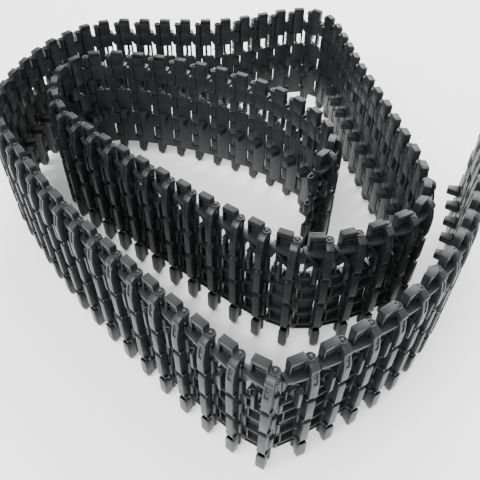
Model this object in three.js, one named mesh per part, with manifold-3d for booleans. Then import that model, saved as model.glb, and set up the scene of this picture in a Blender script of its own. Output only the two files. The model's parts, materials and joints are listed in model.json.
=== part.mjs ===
// A length of plastic tank track, lying coiled on its edge.
// One hundred links hang together on hinge pins. Millimetres, +Z up.
//
// Link frame: the pin axis is at x = 0, the next pin axis at x = PITCH,
// +y is the grouser side (outward in the coil), z runs across the track.
import * as THREE from "three";
import { mergeVertices } from "three/addons/utils/BufferGeometryUtils.js";
import Module from "manifold-3d";

const wasm = await Module();
wasm.setup();

// ---- driving dimensions -------------------------------------------------
const LINK_COUNT = 100;
const SINGLE_LINKS = 3; // links at each end that stay separate, with their own pins
const PITCH = 8.13;
const TRACK_WIDTH = 45;
const RUNNING_GAP = 0.35;
const OVERLAP = 1; // how far a cut or a joined rod runs past the face it meets

const BODY_HALF = 1.1; // half thickness of the ribbed plate, the block and the knuckle
const PLATE_BOTTOM = 6.5;
const LUG_TOP = 43.7;
const PIN = { radius: 0.6, bore: 0.9, sides: 6, bottom: 6.5, top: 44.5 };
const FINGER = { bottom: 13.5, top: 24.5 };
const BLOCK_END = 5.3;
const WINDOW = { start: 1.9, end: 4.7, bottom: 30.2, top: 34.6 };
const NOTCH_BOTTOM = 29.6;
const GROUSER = { face: 3.6, shoulder: 37, top: 41, toe: 2 };
const HORN = {
  rootStart: 1.8, rootEnd: 5.5, tipStart: 2.5, tipEnd: 4.8, tip: -4.9, rootDepth: 0.4,
  bottom: 19.6, thick: 2.2,
};
const PLASTIC = { color: 0x17181a, roughness: 0.42, metalness: 0 };

// Radius around a pin axis that the neighbouring link keeps out of.
const HINGE_CLEAR = Math.SQRT2 * BODY_HALF + RUNNING_GAP;
const PLATE_END = PITCH - HINGE_CLEAR;
const FINGER_END = PITCH + BODY_HALF;

// Route of the track seen from above, outer end first.
const ROUTE = [
  [75.6, 142.8], [67.4, 118.8], [55, 95.5], [38, 76], [15, 60.3], [7.7, 56.8], [0.5, 60.6], [-9, 68.4],
  [-27, 85.3], [-48, 106.5], [-66, 129], [-79, 150], [-79.5, 172], [-72, 195], [-57, 211], [-32, 213],
  [-8, 214.5], [14, 223.5], [27, 227], [34.5, 221.5], [38, 209], [42, 182], [48, 150],
  [52, 118], [48.3, 107.5], [38, 100], [15, 93.5], [-5, 105], [-25, 120.5], [-45, 137],
  [-59, 151.5], [-64.5, 172], [-57, 185], [-31, 183.5], [-1, 172], [17, 158.5], [26, 146],
  [27.5, 134], [16, 119], [10, 113],
];

// ---- solids ---------------------------------------------------------------
function solidFrom(geometry) {
  const bare = geometry.clone();
  bare.deleteAttribute("normal");
  bare.deleteAttribute("uv");
  const merged = mergeVertices(bare, 1e-4);
  return new wasm.Manifold(new wasm.Mesh({
    numProp: 3,
    vertProperties: new Float32Array(merged.attributes.position.array),
    triVerts: new Uint32Array(merged.index.array),
  }));
}

function geometryFrom(solid) {
  const mesh = solid.getMesh();
  const geometry = new THREE.BufferGeometry();
  geometry.setAttribute("position", new THREE.BufferAttribute(mesh.vertProperties, 3));
  geometry.setIndex(new THREE.BufferAttribute(mesh.triVerts, 1));
  return geometry;
}

function box(x, y, z) {
  const geometry = new THREE.BoxGeometry(x[1] - x[0], y[1] - y[0], z[1] - z[0]);
  return solidFrom(geometry.translate((x[0] + x[1]) / 2, (y[0] + y[1]) / 2, (z[0] + z[1]) / 2));
}

function outline(points) {
  return new THREE.Shape(points.map(([x, y]) => new THREE.Vector2(x, y)));
}

function rodGeometry(radius, bottom, top) {
  const geometry = new THREE.CylinderGeometry(radius, radius, top - bottom, PIN.sides);
  return geometry.rotateX(Math.PI / 2).translate(0, 0, (bottom + top) / 2);
}

function pinGeometry() {
  return rodGeometry(PIN.radius, PIN.bottom, PIN.top);
}

// ---- one link ---------------------------------------------------------------
// Grouser bar, knuckle and lug in one: a square column over the pin axis.
function grouserColumn() {
  const half = BODY_HALF;
  const profile = outline([
    [-half, 0], [GROUSER.face - GROUSER.toe, 0], [GROUSER.face, GROUSER.toe],
    [GROUSER.face, GROUSER.shoulder], [half, GROUSER.top], [half, LUG_TOP], [-half, LUG_TOP],
  ]);
  const geometry = new THREE.ExtrudeGeometry(profile, { depth: 2 * half, bevelEnabled: false });
  // The profile is drawn in (y, z); turn it upright and centre it on the pin axis.
  geometry.rotateX(Math.PI / 2).rotateZ(Math.PI / 2).translate(-half, 0, 0);
  return solidFrom(geometry);
}

// Plate, block and the finger for the next pin, cut out of one flat thickness.
// Above the finger the plate stops under the block, which leaves a tall notch for the
// sprocket tooth beside the window. reach is how far the finger goes past the plate.
function plateSlab(reach) {
  const shape = outline([
    [0, PLATE_BOTTOM], [PLATE_END, PLATE_BOTTOM], [PLATE_END, FINGER.bottom],
    [reach, FINGER.bottom], [reach, FINGER.top], [PLATE_END, FINGER.top],
    [PLATE_END, NOTCH_BOTTOM], [BLOCK_END, NOTCH_BOTTOM], [BLOCK_END, TRACK_WIDTH],
    [BODY_HALF, TRACK_WIDTH], [BODY_HALF, LUG_TOP], [0, LUG_TOP],
  ]);
  const { start, end, bottom, top } = WINDOW;
  shape.holes.push(outline([[start, bottom], [start, top], [end, top], [end, bottom]]));
  const geometry = new THREE.ExtrudeGeometry(shape, { depth: 2 * BODY_HALF, bevelEnabled: false });
  // The outline is drawn in (x, z); stand it up about the pin plane.
  return solidFrom(geometry.rotateX(Math.PI / 2).translate(0, BODY_HALF, 0));
}

// Guide horn: a broad tongue on the inner face, half way across the track.
function horn() {
  const root = HORN.rootDepth - BODY_HALF;
  const shape = outline([
    [HORN.rootStart, root], [HORN.tipStart, HORN.tip], [HORN.tipEnd, HORN.tip], [HORN.rootEnd, root],
  ]);
  const geometry = new THREE.ExtrudeGeometry(shape, { depth: HORN.thick, bevelEnabled: false });
  return solidFrom(geometry.translate(0, 0, HORN.bottom));
}

// Room in the column for the previous link's finger.
function fingerSlot() {
  const reach = [-PITCH / 2, HINGE_CLEAR];
  return box(reach, reach, [FINGER.bottom - RUNNING_GAP, FINGER.top + RUNNING_GAP]);
}

function linkBody(reach) {
  return grouserColumn().add(plateSlab(reach)).add(horn());
}

function bored(link, x, bottom, top) {
  return link.subtract(solidFrom(rodGeometry(PIN.bore, bottom, top).translate(x, 0, 0)));
}

// ---- chain of pins ----------------------------------------------------------
// Steps along the route so that neighbouring pins are one pitch apart.
function placePins() {
  const curve = new THREE.CatmullRomCurve3(
    ROUTE.map(([x, y]) => new THREE.Vector3(x, y, 0)), false, "centripetal");
  const fine = curve.getPoints(ROUTE.length * 200);
  const pins = [fine[0]];
  for (const point of fine) {
    const last = pins[pins.length - 1];
    if (point.distanceTo(last) >= PITCH && pins.length <= LINK_COUNT) {
      const step = point.clone().sub(last).setLength(PITCH);
      pins.push(last.clone().add(step));
    }
  }
  return pins;
}

const pins = placePins();
const headings = pins.slice(1).map((pin, i) => Math.atan2(pin.y - pins[i].y, pin.x - pins[i].x));

// ---- pieces -------------------------------------------------------------------
const track = new THREE.Group();

function addPiece(name, geometry, linkIndex) {
  const mesh = new THREE.Mesh(geometry, new THREE.MeshStandardMaterial(PLASTIC));
  mesh.name = name;
  mesh.position.copy(pins[linkIndex]);
  mesh.rotation.z = headings[linkIndex];
  track.add(mesh);
}

function label(linkIndex) {
  return String(linkIndex + 1).padStart(3, "0");
}

// A separate end link, bored at both ends, and its loose pin.
function addSingleLink(linkIndex) {
  const open = linkBody(FINGER_END).subtract(fingerSlot());
  const link = bored(bored(open, 0, PIN.bottom - OVERLAP, TRACK_WIDTH), PITCH, 0, TRACK_WIDTH);
  addPiece(`link_${label(linkIndex)}`, geometryFrom(link), linkIndex);
  addPiece(`pin_${label(linkIndex)}`, pinGeometry(), linkIndex);
}

// Two links and their two pins as one rigid section.
function addSection(linkIndex) {
  const bend = headings[linkIndex + 1] - headings[linkIndex];
  const second = geometryFrom(bored(linkBody(FINGER_END), PITCH, 0, TRACK_WIDTH));
  second.rotateZ(bend).translate(PITCH, 0, 0);
  const hingePin = rodGeometry(PIN.radius, FINGER.bottom - OVERLAP, FINGER.top + OVERLAP);
  const section = linkBody(PITCH).subtract(fingerSlot())
    .add(solidFrom(hingePin))
    .add(solidFrom(second));
  addPiece(`links_${label(linkIndex)}_${label(linkIndex + 1)}`, geometryFrom(section), linkIndex);
}

for (let i = 0; i < SINGLE_LINKS; i += 1) {
  addSingleLink(i);
  addSingleLink(LINK_COUNT - 1 - i);
}
for (let i = SINGLE_LINKS; i < LINK_COUNT - SINGLE_LINKS; i += 2) {
  addSection(i);
}

// Stand the coil on z = 0 with the origin under the middle of its bounding box.
const bounds = new THREE.Box3().setFromObject(track);
track.position.set(
  -(bounds.min.x + bounds.max.x) / 2, -(bounds.min.y + bounds.max.y) / 2, -bounds.min.z);

const group = new THREE.Group();
group.add(track);

export default group;
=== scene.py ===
import json
import math

import bmesh
import bpy
import numpy as np
from mathutils import Matrix, Vector, noise


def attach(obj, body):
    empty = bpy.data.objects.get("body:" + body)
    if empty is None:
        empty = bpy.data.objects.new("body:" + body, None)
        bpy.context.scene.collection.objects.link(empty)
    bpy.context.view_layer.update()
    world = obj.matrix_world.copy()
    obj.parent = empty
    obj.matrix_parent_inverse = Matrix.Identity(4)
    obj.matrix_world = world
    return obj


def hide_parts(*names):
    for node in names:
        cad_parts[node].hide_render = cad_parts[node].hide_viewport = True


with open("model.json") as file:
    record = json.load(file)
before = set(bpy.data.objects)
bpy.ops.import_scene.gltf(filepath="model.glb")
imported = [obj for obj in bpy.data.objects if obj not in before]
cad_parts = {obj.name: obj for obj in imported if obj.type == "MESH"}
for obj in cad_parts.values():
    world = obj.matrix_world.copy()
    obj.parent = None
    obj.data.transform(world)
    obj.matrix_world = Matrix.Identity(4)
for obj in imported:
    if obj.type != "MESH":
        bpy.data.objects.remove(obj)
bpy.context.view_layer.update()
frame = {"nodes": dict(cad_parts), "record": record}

# A length of plastic tank track, coiled and standing on its edge.
# One link is modelled in its own frame, in millimetres: the hinge pin's axis at x = 0,
# the next pin at x = PITCH, +y out towards the ground side, z up across the track.
MM = 0.001
PITCH = 8.13
BLOCK_MIDDLE = 3.2          # middle of a link's top block, from its own pin
BLOCK_TOP = 45.0
INNER_FACE = -1.1
SKIN_FACE = -0.25           # outer face of the thin skin between the ribs
RIB_ROOT = SKIN_FACE - 0.2  # ribs and posts start inside the skin
RIB_FACE = 1.0
PLATE_END = 6.22
BAR_FACE = 3.55
BAR_HALF = 1.05
BAR_SIDE = 0.95             # where the ribs and ledge meet the bar
BAR_BACK = 1.25
BAR_TOP = 41.2
SPINE_DEPTH = 1.35          # how far the notches are cut into the bar
CHANNEL_DEPTH = 0.22
NOTCH_HALF = 0.95
CURVE_START = 35.5
CURVE_RADIUS = 16.0
CHANNEL_START = 37.2
CHANNEL_HALF = 0.5
TOE_TOP = 8.6
PLATE_BOTTOM = 6.5
SKIN_START = 1.2
BLOCK_END = 5.3
RIB_HALF = 0.22
FLARE = 0.8
PIN_RADIUS = 0.55
PIN_DRIFT = 0.35            # how far a pin may have worked its way along its hole
KNUCKLE_RADIUS = 1.02
HUB_RADIUS = 1.6
HUB_FACE = 1.2
FINGER_PLATE_END = PITCH - 1.65
LUG_RADIUS = 1.3
LEDGE = (39.1, 40.0)
RIB_LEVELS = [6.75, 8.5, 13.7, 20.2, 25.0, 28.9]
FINGER_LEVELS = [(6.5, 9.0), (14.6, 19.3), (24.9, 28.8), (35.0, 39.2)]
HUB_LEVELS = [(9.5, 14.1), (19.8, 24.4), (29.3, 34.5)]
NOTCH_LEVELS = [9.4, 20.7, 30.7]
HORN_LEVELS = (19.6, 21.8)
WINDOW = (1.9, 4.7, 30.2, 34.6)


# ---- solids in the link's frame ---------------------------------------------
def prism(bm, points, low, high, axes="xyz"):
    """Extrudes a flat outline. The outline is in axes[0], axes[1]; low to high runs along axes[2]."""
    order = ["xyz".index(a) for a in axes]
    rings = []
    for level in (low, high):
        ring = []
        for point in points:
            spot = [0.0, 0.0, 0.0]
            spot[order[0]] = point[0]
            spot[order[1]] = point[1]
            spot[order[2]] = level
            ring.append(bm.verts.new(spot))
        rings.append(ring)
    faces = [bm.faces.new(rings[0]), bm.faces.new(rings[1])]
    count = len(points)
    for i in range(count):
        j = (i + 1) % count
        faces.append(bm.faces.new([rings[0][i], rings[0][j], rings[1][j], rings[1][i]]))
    bmesh.ops.recalc_face_normals(bm, faces=faces)


def brick(bm, x, y, z):
    prism(bm, [(x[0], y[0]), (x[1], y[0]), (x[1], y[1]), (x[0], y[1])], z[0], z[1])


def arc(centre, radius, start, end, steps):
    """Points on an arc, with the angles in degrees."""
    points = []
    for i in range(steps + 1):
        angle = math.radians(start + (end - start) * i / steps)
        points.append((centre[0] + radius * math.cos(angle), centre[1] + radius * math.sin(angle)))
    return points


def tube(bm, x, radius, hole, z, sides=16):
    """An upright round tube about (x, 0)."""
    rings = []
    for r, level in ((radius, z[0]), (radius, z[1]), (hole, z[1]), (hole, z[0])):
        spots = arc((x, 0), r, 0, 360, sides)[:-1]
        rings.append([bm.verts.new((px, py, level)) for px, py in spots])
    faces = []
    for a in range(4):
        lower = rings[a]
        upper = rings[(a + 1) % 4]
        for i in range(sides):
            j = (i + 1) % sides
            faces.append(bm.faces.new([lower[i], lower[j], upper[j], upper[i]]))
    bmesh.ops.recalc_face_normals(bm, faces=faces)


def loft(bm, sections):
    """Upright solid through rectangles. A section is its level, half width, back and front."""
    rings = []
    for z, half, back, front in sections:
        spots = [(-half, back), (half, back), (half, front), (-half, front)]
        rings.append([bm.verts.new((x, y, z)) for x, y in spots])
    faces = [bm.faces.new(rings[0]), bm.faces.new(rings[-1])]
    for lower, upper in zip(rings[:-1], rings[1:]):
        for i in range(4):
            j = (i + 1) % 4
            faces.append(bm.faces.new([lower[i], lower[j], upper[j], upper[i]]))
    bmesh.ops.recalc_face_normals(bm, faces=faces)


# ---- the parts of one link --------------------------------------------------
def add_skin(bm):
    start, end, bottom, top = WINDOW
    side = (INNER_FACE, SKIN_FACE)
    brick(bm, (SKIN_START, PLATE_END), side, (PLATE_BOTTOM, bottom))
    brick(bm, (SKIN_START, start), side, (bottom, top))
    brick(bm, (end, BLOCK_END), side, (bottom, top))
    brick(bm, (SKIN_START, BLOCK_END), side, (top, LEDGE[0] + 0.4))


def add_ribs(bm):
    """Ribs along the link; all but the lowest flare out where they meet the bar."""
    flare = arc((BAR_SIDE + FLARE, RIB_FACE + FLARE), FLARE, 270, 180, 5)
    straight = [(BAR_SIDE, RIB_ROOT), (PLATE_END, RIB_ROOT), (PLATE_END, RIB_FACE)]
    prism(bm, straight + [(BAR_SIDE, RIB_FACE)], RIB_LEVELS[0] - RIB_HALF, RIB_LEVELS[0] + RIB_HALF)
    for level in RIB_LEVELS[1:]:
        prism(bm, straight + flare, level - RIB_HALF, level + RIB_HALF)
    for low, high in ((RIB_LEVELS[1], RIB_LEVELS[2]), (RIB_LEVELS[3], RIB_LEVELS[4])):
        brick(bm, (4.95, 5.35), (RIB_ROOT, RIB_FACE - 0.06), (low, high))


def add_fingers(bm):
    """Straps that leave the plate's far end and close round the next pin."""
    for low, high in FINGER_LEVELS[:-1]:
        brick(bm, (PLATE_END - 0.5, PITCH - 0.6), (-0.95, 0.7), (low, high))
        brick(bm, (PLATE_END - 0.55, FINGER_PLATE_END), (0.2, RIB_FACE), (low, high))
        tube(bm, PITCH, KNUCKLE_RADIUS, PIN_RADIUS + 0.12, (low, high))
    low, high = FINGER_LEVELS[-1]
    strap = [(4.6, 38.9), (5.2, 36.6), (PITCH - 1.9, low), (PITCH - 0.6, low)]
    strap += [(PITCH - 0.6, high), (4.6, high)]
    prism(bm, strap, -0.95, 0.7, "xzy")
    plate = [(5.2, 37.2), (PITCH - 2.3, low + 0.3), (FINGER_PLATE_END, low + 0.3), (FINGER_PLATE_END, high)]
    prism(bm, plate + [(4.9, high)], 0.2, RIB_FACE, "xzy")
    tube(bm, PITCH, KNUCKLE_RADIUS, PIN_RADIUS + 0.12, (low, high))


def add_hubs(bm):
    """The link's own knuckles between the previous link's fingers."""
    inner = math.degrees(math.asin(-INNER_FACE / HUB_RADIUS))
    outer = math.degrees(math.asin(HUB_FACE / HUB_RADIUS))
    hub = arc((0, 0), HUB_RADIUS, 180 - outer, 180 + inner, 6) + [(SKIN_START + 0.3, INNER_FACE)]
    hub += [(SKIN_START + 0.3, HUB_FACE)]
    for low, high in HUB_LEVELS:
        prism(bm, hub, low, high)
        for x in (-0.7, 0.0, 0.7):
            brick(bm, (x - 0.12, x + 0.12), (HUB_FACE - 0.1, 1.6), (low, high))


def bar_front(z):
    """Outer face of the grouser bar: straight, then a wide curve back to the lug."""
    rise = max(0.0, z - CURVE_START)
    return BAR_FACE - (CURVE_RADIUS - math.sqrt(CURVE_RADIUS ** 2 - rise ** 2))


def bar_slice(bm, x, z, depth, back):
    """Part of the bar between two levels, set back from its outer face by depth."""
    steps = 8
    front = []
    for i in range(steps + 1):
        level = z[0] + (z[1] - z[0]) * i / steps
        front.append((bar_front(level) - depth, level))
    prism(bm, [(back, z[0])] + front + [(back, z[1])], x[0], x[1], "yzx")


def add_bar(bm):
    """Grouser bar: a deep rib across the track, notched, curved in at its top."""
    half = BAR_HALF - 0.04
    core = BAR_BACK + 0.2
    bar_slice(bm, (-BAR_HALF + 0.1, BAR_HALF - 0.1), (PLATE_BOTTOM, BAR_TOP), SPINE_DEPTH, BAR_BACK)
    for below, above in zip(NOTCH_LEVELS[:-1], NOTCH_LEVELS[1:]):
        bottom = below + NOTCH_HALF
        top = above - NOTCH_HALF
        face = [(core, bottom), (BAR_FACE - 0.12, bottom), (BAR_FACE, bottom + 0.5)]
        face += [(BAR_FACE, top - 0.5), (BAR_FACE - 0.12, top), (core, top)]
        prism(bm, face, -half, half, "yzx")
    bottom = NOTCH_LEVELS[-1] + NOTCH_HALF
    foot = [(core, bottom), (BAR_FACE - 0.12, bottom), (BAR_FACE, bottom + 0.5), (core, bottom + 0.5)]
    prism(bm, foot, -half, half, "yzx")
    bar_slice(bm, (-half, half), (bottom + 0.5, CHANNEL_START), 0, core)
    for x in ((-half, -CHANNEL_HALF), (CHANNEL_HALF, half)):
        bar_slice(bm, x, (CHANNEL_START - 0.05, BAR_TOP), 0, core)
    hollow = (-CHANNEL_HALF - 0.1, CHANNEL_HALF + 0.1)
    bar_slice(bm, hollow, (CHANNEL_START - 0.1, BAR_TOP), CHANNEL_DEPTH, core)
    stud = bar_front(39.0)
    brick(bm, (-0.16, 0.16), (stud - 1, stud - 0.12), (38.8, 39.3))
    for level in NOTCH_LEVELS:
        for side in (-1, 1):
            ear = [(side * 0.85, level + 0.7), (side * 1.4, level + 1.05), (side * 1.4, level + 0.7),
                   (side * 1.05, level + 0.1), (side * 0.85, level + 0.1)]
            prism(bm, ear, 1.9, BAR_FACE - 0.3, "xzy")


def add_toe(bm):
    """Five-sided foot at the bottom of the bar, rounded underneath, with a shallow pocket in its sides."""
    rings = [(0, 0.5, 1.6, 2.5), (0.4, 0.62, 0.6, 3.05), (1.7, 1.03, 0.0, 3.5), (2.4, 1.25, 0.0, BAR_FACE),
             (7.8, 1.25, 0.0, BAR_FACE), (TOE_TOP, 1.05, 0.0, BAR_FACE)]
    for low, high, inset in ((0.1, BAR_FACE - 0.1, 0.3), (2.0, BAR_FACE, 0.0), (0.0, 0.6, 0.0)):
        sections = []
        for z, half, back, front in rings:
            back = max(back, low)
            front = min(front, high)
            if front - back > 0.2:
                sections.append((z, half - inset, back, front))
        loft(bm, sections)
    brick(bm, (-1.0, 1.0), (INNER_FACE + 0.4, 0.3), (PLATE_BOTTOM, TOE_TOP))


def add_lug(bm):
    """The flat eye round the pin's top end, on a tab that slopes down to the bar."""
    tab = [(0.2, 43.25), (1.2, 43.2), (2.2, 42.75), (2.85, 42.0), (2.85, 41.3), (1.9, 41.2), (0.2, 41.2)]
    prism(bm, tab, -1.02, 1.02, "yzx")
    prism(bm, arc((0, 0), LUG_RADIUS, 0, 360, 24)[:-1], 42.5, 43.25)
    tube(bm, 0, LUG_RADIUS - 0.1, 0.8, (43.1, 43.5), 24)
    tube(bm, 0, 1.1, 0.3, (39.9, 42.6), 16)
    brick(bm, (-0.85, 0.85), (0.9, 2.2), (39.6, 41.4))


def add_block(bm):
    """Block on the upper edge: a stepped panel between walls, under a ridged top."""
    back = INNER_FACE + 0.1
    start, end = (1.1, BLOCK_END - 0.12)
    brick(bm, (start, end), (back, -0.2), (39.6, 44.1))
    panel = [(-0.3, 39.8), (0.45, 39.8), (0.35, 42.1), (0.75, 42.15)]
    panel += [(0.75, 42.4), (0.0, 42.45), (0.0, 43.8), (-0.3, 43.8)]
    prism(bm, panel, start + 0.2, 4.15, "yzx")
    for left, right in ((start, start + 0.4), (end - 0.4, end)):
        brick(bm, (left, right), (-0.3, 0.95), (39.9, 44.2))
    top = [(start, 43.7), (end, 43.7), (end - 0.1, 44.93), (start + 0.1, 44.93)]
    prism(bm, top, back, 1.02, "xzy")
    for y in (-0.72, -0.26, 0.2, 0.66):
        brick(bm, (start + 0.3, end - 0.3), (y - 0.13, y + 0.13), (44.8, BLOCK_TOP))


def add_shelf(bm):
    """Ledge under the block, its corner web and the slanting rib below it."""
    ledge = [(BAR_SIDE, INNER_FACE), (6.2, -0.9), (6.2, 1.2), (6.0, 1.85), (4.6, 2.2), (BAR_SIDE, 2.6)]
    prism(bm, ledge, *LEDGE)
    slant = [(1.0, 33.4), (1.0, 33.9), (4.9, 38.9), (5.3, 38.9), (5.3, 38.2), (1.35, 33.1)]
    prism(bm, slant, RIB_ROOT, 1.25, "xzy")
    brick(bm, (4.75, BLOCK_END), (RIB_ROOT, 0.95), (38.0, 39.6))
    web = [(BAR_SIDE, 39.4), (1.35, 39.4), (1.35, 33.4), (BAR_SIDE, 33.0)]
    prism(bm, web, RIB_ROOT, 2.3, "xzy")


def add_post(bm):
    """Stub that stands out beside the window, on a small arch."""
    prism(bm, [(2.55, RIB_ROOT), (3.65, RIB_ROOT), (3.55, 3.2), (2.65, 3.2)], 29.4, 30.5)
    prism(bm, [(2.65, 1.6), (3.55, 1.6), (3.5, 3.3), (2.7, 3.3)], 30.3, 35.3)
    brick(bm, (2.85, 3.35), (1.0, 2.7), (35.1, 35.6))
    start, end, bottom, top = WINDOW
    middle = (start + end) / 2
    outer = arc((middle, top - 1.2), 1.95, 0, 180, 10)
    inner = arc((middle, top - 1.2), 1.6, 180, 0, 10)
    frame_shape = [(end + 0.55, bottom)] + outer + [(start - 0.55, bottom), (start - 0.2, bottom)]
    frame_shape += inner + [(end + 0.2, bottom)]
    prism(bm, frame_shape, RIB_ROOT, 0.85, "xzy")
    hood = arc((middle, top - 1.2), 1.95, 20, 160, 8) + arc((middle, top - 1.2), 1.7, 160, 20, 8)
    prism(bm, hood, 0.8, 1.7, "xzy")


def add_horn(bm):
    """Guide horn: a broad tongue on the inner face, half way across the track."""
    bottom, top = HORN_LEVELS
    tip = arc((3.05, -4.3), 0.55, 190, 270, 4) + arc((4.25, -4.3), 0.55, 270, 350, 4)
    tongue = [(5.5, INNER_FACE + 0.3), (1.8, INNER_FACE + 0.3)] + tip
    prism(bm, tongue, bottom + 0.1, top)
    brick(bm, (1.8, 5.5), (INNER_FACE - 0.3, INNER_FACE + 0.2), (bottom, top))
    prism(bm, [(3.5, INNER_FACE), (3.6, -3.9), (3.75, -3.9), (3.85, INNER_FACE)], bottom, bottom + 0.3)


def finish_mesh(bm, name, edge):
    """Rounds the sharp edges and stores the mesh in metres."""
    mesh = bpy.data.meshes.new(name)
    bm.to_mesh(mesh)
    bm.free()
    holder = bpy.data.objects.new(name, mesh)
    bpy.context.scene.collection.objects.link(holder)
    rounding = holder.modifiers.new("rounded edges", "BEVEL")
    rounding.width = edge
    rounding.segments = 2
    rounding.limit_method = "ANGLE"
    rounding.angle_limit = math.radians(35)
    rounding.use_clamp_overlap = True
    rounding.harden_normals = False
    shown = holder.evaluated_get(bpy.context.evaluated_depsgraph_get())
    final = bpy.data.meshes.new_from_object(shown)
    bpy.data.objects.remove(holder)
    final.name = name
    final.transform(Matrix.Scale(MM, 4))
    for polygon in final.polygons:
        polygon.use_smooth = True
    final.set_sharp_from_angle(angle=math.radians(32))
    return final


def link_mesh():
    bm = bmesh.new()
    for add in (add_skin, add_ribs, add_fingers, add_hubs, add_bar, add_toe, add_lug, add_block,
                add_shelf, add_post, add_horn):
        add(bm)
    return finish_mesh(bm, "track_link", 0.09)


def pin_mesh():
    bm = bmesh.new()
    prism(bm, arc((0, 0), PIN_RADIUS, 0, 360, 20)[:-1], PLATE_BOTTOM + 0.3, 43.5)
    prism(bm, arc((0, 0), 0.42, 0, 360, 16)[:-1], 43.4, 43.85)
    return finish_mesh(bm, "hinge_pin", 0.1)


# ---- where the links go -----------------------------------------------------
def block_tops(node):
    """Centre and lengthwise direction of each flat block top in a CAD node, in metres."""
    top_level = (BLOCK_TOP - 0.1) * MM
    upper = [vertex.co for vertex in node.data.vertices if vertex.co.z > top_level]
    spots = {(round(spot.x, 6), round(spot.y, 6)) for spot in upper}
    spots = np.array(sorted(spots))
    if len(spots) == 0:
        return []
    gaps = np.linalg.norm(spots[:, None] - spots[None], axis=2)
    groups = [spots]
    if gaps.max() > PITCH * 0.8 * MM:
        one, other = np.unravel_index(gaps.argmax(), gaps.shape)
        near_one = gaps[one] < gaps[other]
        groups = [spots[near_one], spots[~near_one]]
    tops = []
    for group in groups:
        centre = group.mean(axis=0)
        spread, directions = np.linalg.eigh((group - centre).T @ (group - centre))
        tops.append((centre, directions[:, 1]))
    return tops


def chain_order(name):
    return int(name.split("_")[1])


def place_links():
    names = sorted((n for n in frame["nodes"] if n.startswith("link")), key=chain_order)
    chain = []
    for name in names:
        tops = block_tops(frame["nodes"][name])
        if chain:
            last = chain[-1][1]
            tops.sort(key=lambda top: float(np.linalg.norm(top[0] - last)))
        chain += [(name, centre, direction) for centre, direction in tops]
    places = []
    for i, (name, centre, direction) in enumerate(chain):
        ahead = chain[i + 1][1] - centre if i + 1 < len(chain) else centre - chain[i - 1][1]
        if direction @ ahead < 0:
            direction = -direction
        pin = centre - BLOCK_MIDDLE * MM * direction
        places.append((name, pin, direction))
    return places


def body_of_node(node):
    bodies = frame["record"]["behaviour"]["bodies"]
    return next(body for body, members in bodies.items() if node in members)


# ---- materials --------------------------------------------------------------
def moulded_plastic(name, dark, pale, rough, bump, fleck):
    """Black moulded plastic: faint cloudy tone, a fine grain and scattered pale dust flecks."""
    material = bpy.data.materials.new(name)
    material.use_nodes = True
    nodes = material.node_tree.nodes
    links = material.node_tree.links
    shader = nodes["Principled BSDF"]
    shader.inputs["IOR"].default_value = 1.5
    shader.inputs["Specular IOR Level"].default_value = 0.36
    where = nodes.new("ShaderNodeTexCoord")
    each = nodes.new("ShaderNodeObjectInfo")
    spread = nodes.new("ShaderNodeMath")
    spread.operation = "MULTIPLY"
    spread.inputs[1].default_value = 40.0
    links.new(each.outputs["Random"], spread.inputs[0])

    def cloud(scale, detail, roughness):
        texture = nodes.new("ShaderNodeTexNoise")
        texture.noise_dimensions = "4D"
        texture.inputs["Scale"].default_value = scale
        texture.inputs["Detail"].default_value = detail
        texture.inputs["Roughness"].default_value = roughness
        links.new(where.outputs["Object"], texture.inputs["Vector"])
        links.new(spread.outputs[0], texture.inputs["W"])
        return texture.outputs["Fac"]

    tone = nodes.new("ShaderNodeValToRGB")
    tone.color_ramp.elements[0].position = 0.35
    tone.color_ramp.elements[0].color = (*dark, 1)
    tone.color_ramp.elements[1].position = 0.75
    tone.color_ramp.elements[1].color = (*pale, 1)
    links.new(cloud(180.0, 4.0, 0.6), tone.inputs["Fac"])

    dust = nodes.new("ShaderNodeMapRange")
    dust.inputs["From Min"].default_value = 0.62
    dust.inputs["From Max"].default_value = 0.8
    dust.inputs["To Max"].default_value = fleck
    links.new(cloud(1500.0, 3.0, 0.7), dust.inputs["Value"])
    mixed = nodes.new("ShaderNodeMix")
    mixed.data_type = "RGBA"
    mixed.inputs["B"].default_value = (0.11, 0.11, 0.105, 1)
    links.new(dust.outputs["Result"], mixed.inputs["Factor"])
    links.new(tone.outputs["Color"], mixed.inputs["A"])
    links.new(mixed.outputs["Result"], shader.inputs["Base Color"])

    gloss = nodes.new("ShaderNodeMapRange")
    gloss.inputs["From Min"].default_value = 0.3
    gloss.inputs["From Max"].default_value = 0.7
    gloss.inputs["To Min"].default_value = rough - 0.07
    gloss.inputs["To Max"].default_value = rough + 0.1
    links.new(cloud(420.0, 5.0, 0.65), gloss.inputs["Value"])
    links.new(gloss.outputs["Result"], shader.inputs["Roughness"])

    grain = nodes.new("ShaderNodeBump")
    grain.inputs["Strength"].default_value = bump
    grain.inputs["Distance"].default_value = 0.05 * MM
    links.new(cloud(2600.0, 3.0, 0.6), grain.inputs["Height"])
    links.new(grain.outputs["Normal"], shader.inputs["Normal"])
    return material


def floor_material():
    material = bpy.data.materials.new("white_sheet")
    material.use_nodes = True
    nodes = material.node_tree.nodes
    links = material.node_tree.links
    shader = nodes["Principled BSDF"]
    shader.inputs["Roughness"].default_value = 0.7
    texture = nodes.new("ShaderNodeTexNoise")
    texture.inputs["Scale"].default_value = 6.0
    texture.inputs["Detail"].default_value = 3.0
    tone = nodes.new("ShaderNodeValToRGB")
    tone.color_ramp.elements[0].color = (0.93, 0.93, 0.925, 1)
    tone.color_ramp.elements[1].color = (0.97, 0.97, 0.965, 1)
    links.new(texture.outputs["Fac"], tone.inputs["Fac"])
    links.new(tone.outputs["Color"], shader.inputs["Base Color"])
    return material


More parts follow.
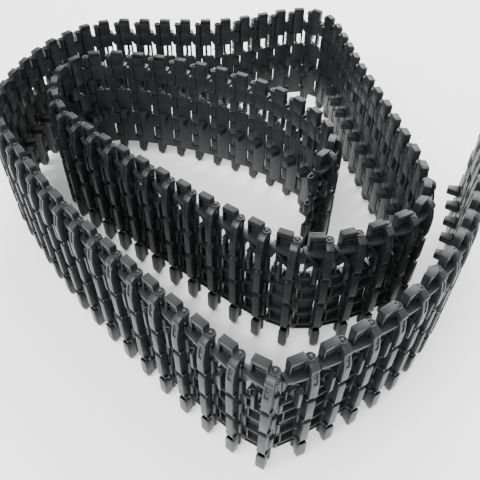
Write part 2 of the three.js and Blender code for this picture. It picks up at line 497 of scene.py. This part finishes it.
# ---- the object -------------------------------------------------------------
link_plastic = moulded_plastic(
    "link_plastic", (0.0065, 0.007, 0.0075), (0.013, 0.0135, 0.0145), 0.40, 0.35, 0.10)
pin_plastic = moulded_plastic("pin_plastic", (0.016, 0.017, 0.018), (0.034, 0.035, 0.037), 0.30, 0.2, 0.06)
link_shape = link_mesh()
link_shape.materials.append(link_plastic)
pin_shape = pin_mesh()
pin_shape.materials.append(pin_plastic)

for number, (node, pin, direction) in enumerate(place_links(), start=1):
    turn = Matrix.Rotation(math.atan2(direction[1], direction[0]), 4, "Z")
    place = Matrix.Translation((pin[0], pin[1], 0)) @ turn
    body = body_of_node(node)
    piece = bpy.data.objects.new(f"track_link_{number:03d}", link_shape)
    bpy.context.scene.collection.objects.link(piece)
    piece.matrix_world = place
    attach(piece, body)
    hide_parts(node)
    rod = bpy.data.objects.new(f"hinge_pin_{number:03d}", pin_shape)
    bpy.context.scene.collection.objects.link(rod)
    rise = PIN_DRIFT * noise.noise(Vector((number * 1.37, 0.5, 0.2)))
    rod.matrix_world = place @ Matrix.Translation((0, 0, rise * MM))
    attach(rod, body)
    own_pin = f"pin_{number:03d}"
    if own_pin in frame["nodes"]:
        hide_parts(own_pin)

# ---- floor, light and camera ------------------------------------------------
bpy.ops.mesh.primitive_grid_add(x_subdivisions=24, y_subdivisions=24, size=3.0)
floor = bpy.context.object
floor.name = "floor"
floor.data.materials.append(floor_material())


def soft_lamp(name, size, power, position, target):
    data = bpy.data.lights.new(name, "AREA")
    data.shape = "RECTANGLE"
    data.size = size[0]
    data.size_y = size[1]
    data.energy = power
    lamp = bpy.data.objects.new(name, data)
    bpy.context.scene.collection.objects.link(lamp)
    aim = Vector(target) - Vector(position)
    lamp.location = position
    lamp.rotation_euler = aim.to_track_quat("-Z", "Y").to_euler()


soft_lamp("window_light", (0.9, 0.6), 21.0, (-0.35, -0.5, 0.75), (0, 0, 0.02))
soft_lamp("back_light", (1.0, 0.5), 17.0, (0.25, 0.75, 0.6), (0, 0, 0.02))

world = bpy.data.worlds.new("studio")
bpy.context.scene.world = world
world.use_nodes = True
sky = world.node_tree.nodes["Background"]
sky.inputs["Color"].default_value = (0.95, 0.97, 1.0, 1)
sky.inputs["Strength"].default_value = 1.6

LENS_PIXELS = 541.8
IMAGE_PIXELS = 480
SENSOR = 36.0
CAMERA_PLACE = Vector((3.468, -141.661, 139.9))
CAMERA_TILT = 46.0
CAMERA_ROLL = 1.05
camera_data = bpy.data.cameras.new("camera")
camera_data.sensor_width = SENSOR
camera_data.lens = LENS_PIXELS / IMAGE_PIXELS * SENSOR
camera_data.clip_start = 0.005
camera_data.clip_end = 20
camera = bpy.data.objects.new("camera", camera_data)
bpy.context.scene.collection.objects.link(camera)
tilt = math.radians(CAMERA_TILT)
roll = math.radians(CAMERA_ROLL)
forward = Vector((0, math.cos(tilt), -math.sin(tilt)))
level_right = Vector((1, 0, 0))
level_up = Vector((0, math.sin(tilt), math.cos(tilt)))
right = math.cos(roll) * level_right + math.sin(roll) * level_up
up = math.cos(roll) * level_up - math.sin(roll) * level_right
pose = Matrix((right, up, -forward)).transposed().to_4x4()
pose.translation = CAMERA_PLACE * MM
camera.matrix_world = pose
bpy.context.scene.camera = camera
